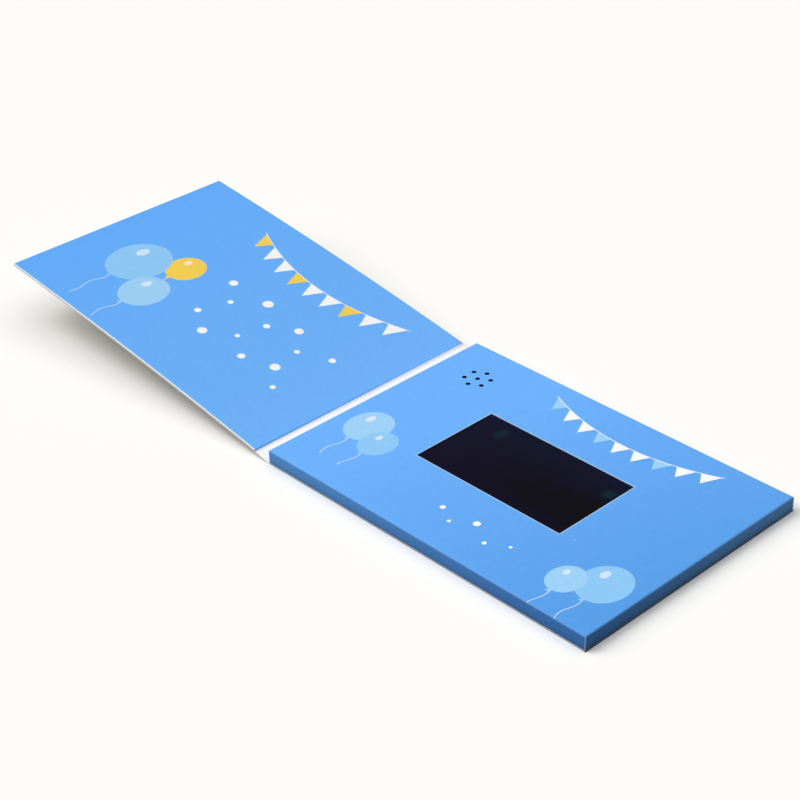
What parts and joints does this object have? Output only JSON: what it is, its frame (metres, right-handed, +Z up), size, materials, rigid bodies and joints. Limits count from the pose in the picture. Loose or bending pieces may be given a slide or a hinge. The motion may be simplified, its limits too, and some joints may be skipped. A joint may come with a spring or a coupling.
{
  "type": "video brochure",
  "caption": "Flat printed card tray with a screen and speaker holes in its top, and a thin paper cover that folds over it on a narrow spine.",
  "frame": {"origin": "centre of the underside of the back panel, on the surface it rests on", "axes": "+X along the long side, away from the spine; +Y along the short side, away from the reader; +Z up, out of the screen"},
  "size_m": [0.4272, 0.148, 0.0333],
  "materials": {
    "outer_sheet": "matte",
    "printed_liner": "matte",
    "core_card": "matte",
    "printed_card": "matte",
    "grey_board": "matte",
    "foam": "matte",
    "black_foam": "matte",
    "clear_tape": "gloss",
    "magnet_nickel": "satin",
    "steel": "satin",
    "screen_black": "gloss",
    "glass": "polished",
    "white_plastic": "matte",
    "clear_plastic": "gloss",
    "chip_black": "matte",
    "amber_flex": "satin",
    "green_board": "satin",
    "black_plastic": "matte",
    "gold_contact": "polished",
    "ceramic_part": "matte",
    "battery_pouch": "satin",
    "red_wire": "satin",
    "black_wire": "satin",
    "membrane": "satin",
    "copper": "satin",
    "mesh": "matte"
  },
  "bodies": {
    "base": {"back_panel": "outer_sheet", "tray_shell": "printed_card", "back_board": "grey_board", "foam_spacer": "foam", "screen_foam_pad": "foam", "screen_tape": "clear_tape", "lcd_bezel": "steel", "lcd_polariser": "screen_black", "lcd_front_glass": "glass", "lcd_rear_glass": "glass", "lcd_driver_chip": "chip_black", "lcd_rear_frame": "white_plastic", "lcd_light_guide": "clear_plastic", "lcd_optical_films": "white_plastic", "lcd_led_strip": "white_plastic", "lcd_flex_tail": "amber_flex", "board_tape": "clear_tape", "main_board": "green_board", "video_processor": "chip_black", "memory_chip": "chip_black", "audio_amplifier": "chip_black", "charge_controller": "chip_black", "magnet_sensor": "chip_black", "crystal": "steel", "power_inductors": "chip_black", "capacitors": "ceramic_part", "resistors": "black_plastic", "usb_shell": "steel", "usb_insert": "black_plastic", "usb_contacts": "gold_contact", "battery_tape": "clear_tape", "battery_cell": "battery_pouch", "battery_guard_board": "green_board", "battery_lead_red": "red_wire", "battery_lead_black": "black_wire", "speaker_lead_red": "red_wire", "speaker_lead_black": "black_wire", "speaker_frame": "black_plastic", "speaker_surround": "membrane", "speaker_magnet_cup": "steel", "speaker_magnet": "magnet_nickel", "speaker_pole_plate": "steel", "speaker_gasket": "black_foam", "speaker_mesh": "mesh"},
    "spine": {"spine_strip": "outer_sheet"},
    "cover": {"cover_outer_sheet": "outer_sheet", "cover_core_card": "core_card", "cover_liner": "printed_liner", "cover_magnet": "magnet_nickel"},
    "diaphragm": {"speaker_cone": "membrane", "speaker_voice_coil": "copper"}
  },
  "joints": [
    {"name": "spine_fold", "type": "hinge", "parent": "base", "child": "spine", "pos_m": [-0.105, 0, 0.0003], "axis": [0, 1, 0], "range_deg": [-3.8, 78]},
    {"name": "cover_fold", "type": "hinge", "parent": "spine", "child": "cover", "pos_m": [-0.11439, 0, 0.0023], "axis": [0, 1, 0], "range_deg": [-4.6, 93.3]},
    {"name": "speaker_stroke", "type": "slide", "parent": "base", "child": "diaphragm", "axis": [0, 0, 1], "range_m": [-0.0003, 0.0003], "stiffness_N_per_m": 500}
  ],
  "couplings": [
    {"joint": "cover_fold", "follows": "spine_fold", "ratio": 1.195}
  ]
}
